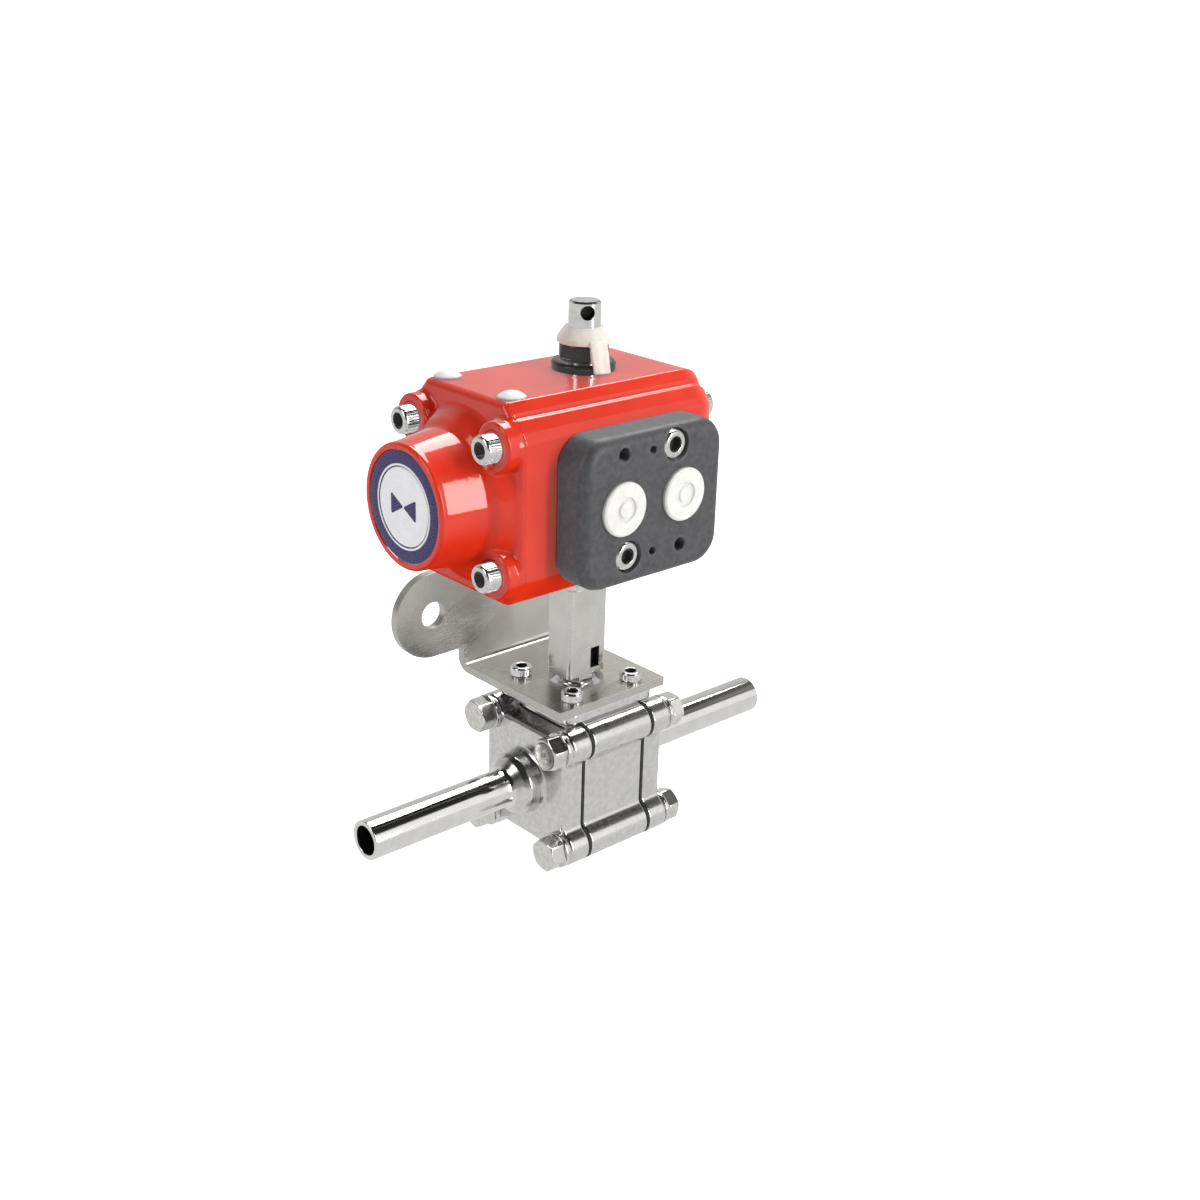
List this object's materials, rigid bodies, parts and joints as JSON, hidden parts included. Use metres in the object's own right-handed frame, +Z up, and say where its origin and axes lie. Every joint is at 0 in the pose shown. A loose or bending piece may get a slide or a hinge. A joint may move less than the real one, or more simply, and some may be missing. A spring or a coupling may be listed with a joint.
{
  "type": "pneumatically actuated ball valve",
  "caption": "Quarter-turn ball valve on a straight tube line, driven through a bracket and square coupling by a red spring-return rack-and-pinion actuator.",
  "frame": {"origin": "centre of the open end of the left-hand tube", "axes": "+X runs along the tube axis from the left tube end to the right one, +Z is up along the stem axis, -Y is the side the air ports face"},
  "size_m": [0.168, 0.0748, 0.179],
  "materials": {
    "cast_stainless": "bright, lightly bead-blasted casting with polished tube ends",
    "machined_stainless": "fine turned",
    "bolt_stainless": "bright",
    "bracket_stainless": "satin, warm grey",
    "red_coating": "gloss powder coat",
    "black_rubber": "matt",
    "ptfe": "waxy",
    "bronze": "satin",
    "piston_alloy": "machined casting",
    "spring_steel": "dark epoxy coat",
    "navy_enamel": "gloss",
    "white_enamel": "gloss",
    "white_plastic": "semi-gloss",
    "dark_coating": "matt, slightly mottled",
    "black_plastic": "semi-gloss",
    "cream_plastic": "semi-gloss"
  },
  "bodies": {
    "valve_and_housing": {"valve_body": "cast_stainless", "left_end_piece": "cast_stainless", "right_end_piece": "cast_stainless", "left_body_seal": "black_rubber", "right_body_seal": "black_rubber", "left_seat": "ptfe", "right_seat": "ptfe", "stem_thrust_seal": "ptfe", "stem_packing": "ptfe", "packing_gland": "machined_stainless", "body_bolts": "bolt_stainless", "body_washers": "bolt_stainless", "body_nuts": "bolt_stainless", "mounting_bracket": "bracket_stainless", "bracket_valve_screws": "bolt_stainless", "bracket_housing_screws": "bolt_stainless", "actuator_housing": "red_coating", "spring_cap": "red_coating", "flat_cap": "red_coating", "spring_cap_screws": "bolt_stainless", "flat_cap_screws": "bolt_stainless", "spring_cap_seal": "black_rubber", "flat_cap_seal": "black_rubber", "badge_ring": "navy_enamel", "badge_disc": "white_enamel", "return_spring": "spring_steel", "upper_bearing": "ptfe", "lower_bearing": "ptfe", "upper_shaft_seal": "black_rubber", "lower_shaft_seal": "black_rubber", "thrust_washer": "bronze", "port_plate": "dark_coating", "port_gasket": "black_rubber", "port_screws": "bolt_stainless", "port_plugs": "white_plastic", "accessory_plugs": "white_plastic"},
    "drive_train": {"valve_ball": "machined_stainless", "valve_stem": "machined_stainless", "stem_nut": "machined_stainless", "gland_springs": "machined_stainless", "drive_coupling": "bracket_stainless", "pinion": "machined_stainless", "retaining_ring": "machined_stainless", "indicator_base": "black_plastic", "indicator_drum": "black_plastic", "indicator_hood": "cream_plastic"},
    "left_piston_set": {"left_piston": "piston_alloy", "left_piston_seal": "black_rubber", "left_rack_guide": "ptfe"},
    "right_piston_set": {"right_piston": "piston_alloy", "right_piston_seal": "black_rubber", "right_rack_guide": "ptfe"}
  },
  "joints": [
    {"name": "stem_turn", "type": "hinge", "parent": "valve_and_housing", "child": "drive_train", "pos_m": [0.084, 0, 0], "axis": [0, 0, 1], "range_deg": [0, 90]},
    {"name": "left_piston_slide", "type": "slide", "parent": "valve_and_housing", "child": "left_piston_set", "axis": [-1, 0, 0], "range_m": [0, 0.0101], "deforming": ["return_spring"]},
    {"name": "right_piston_slide", "type": "slide", "parent": "valve_and_housing", "child": "right_piston_set", "axis": [1, 0, 0], "range_m": [0, 0.0101]}
  ],
  "couplings": [
    {"joint": "left_piston_slide", "follows": "stem_turn", "m_per_rad": 0.0064},
    {"joint": "right_piston_slide", "follows": "stem_turn", "m_per_rad": 0.0064}
  ]
}
